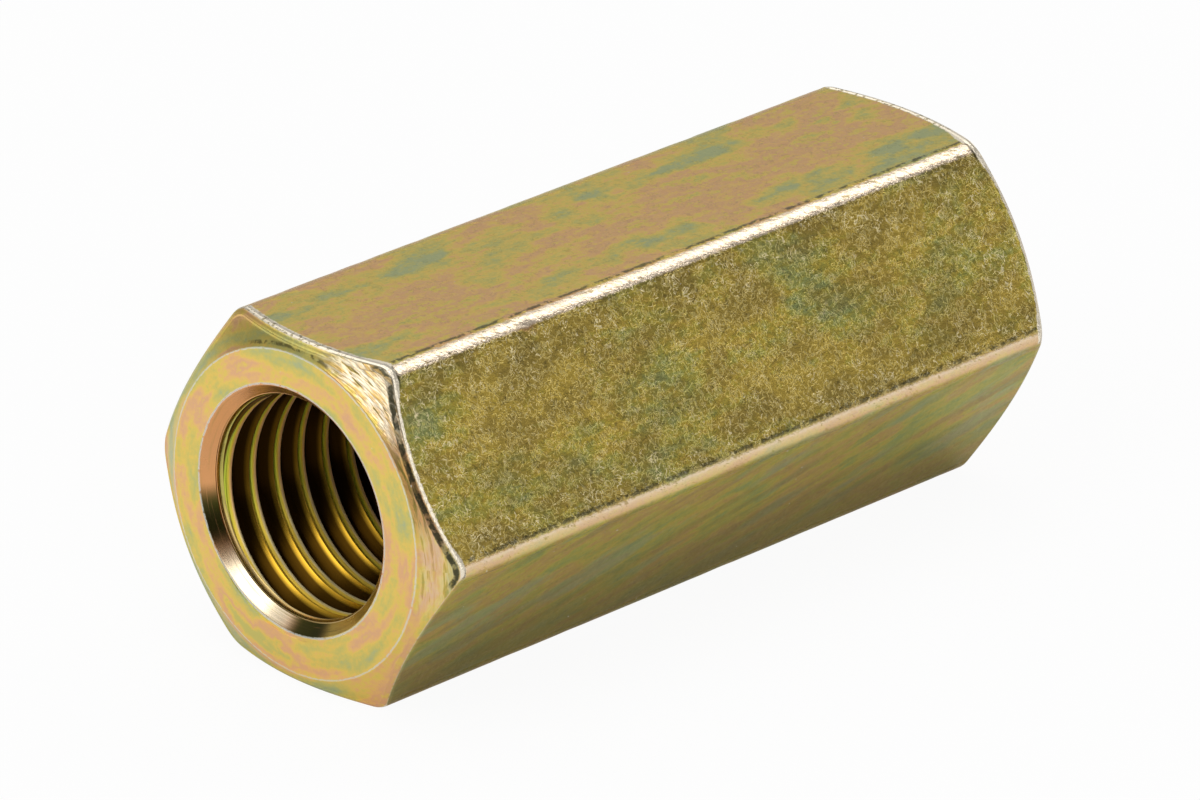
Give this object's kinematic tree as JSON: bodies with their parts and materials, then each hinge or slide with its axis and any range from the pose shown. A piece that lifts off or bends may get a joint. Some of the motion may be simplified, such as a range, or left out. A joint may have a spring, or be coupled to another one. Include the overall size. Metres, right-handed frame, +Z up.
{
  "type": "deep hex nut",
  "caption": "Long hexagonal nut, chamfered at both ends and threaded right through, for joining two threaded rods end to end.",
  "frame": {"origin": "on the thread's axis, at half the nut's length", "axes": "+X along the thread's axis, +Z up with one flat facing down and one facing up"},
  "size_m": [0.053, 0.025, 0.022],
  "materials": {
    "yellow_zinc_plating": "steel with yellow chromated zinc plating: satin gold with patches of olive, green and pink"
  },
  "bodies": {
    "root": {"deep_hex_nut": "yellow_zinc_plating"}
  },
  "joints": []
}
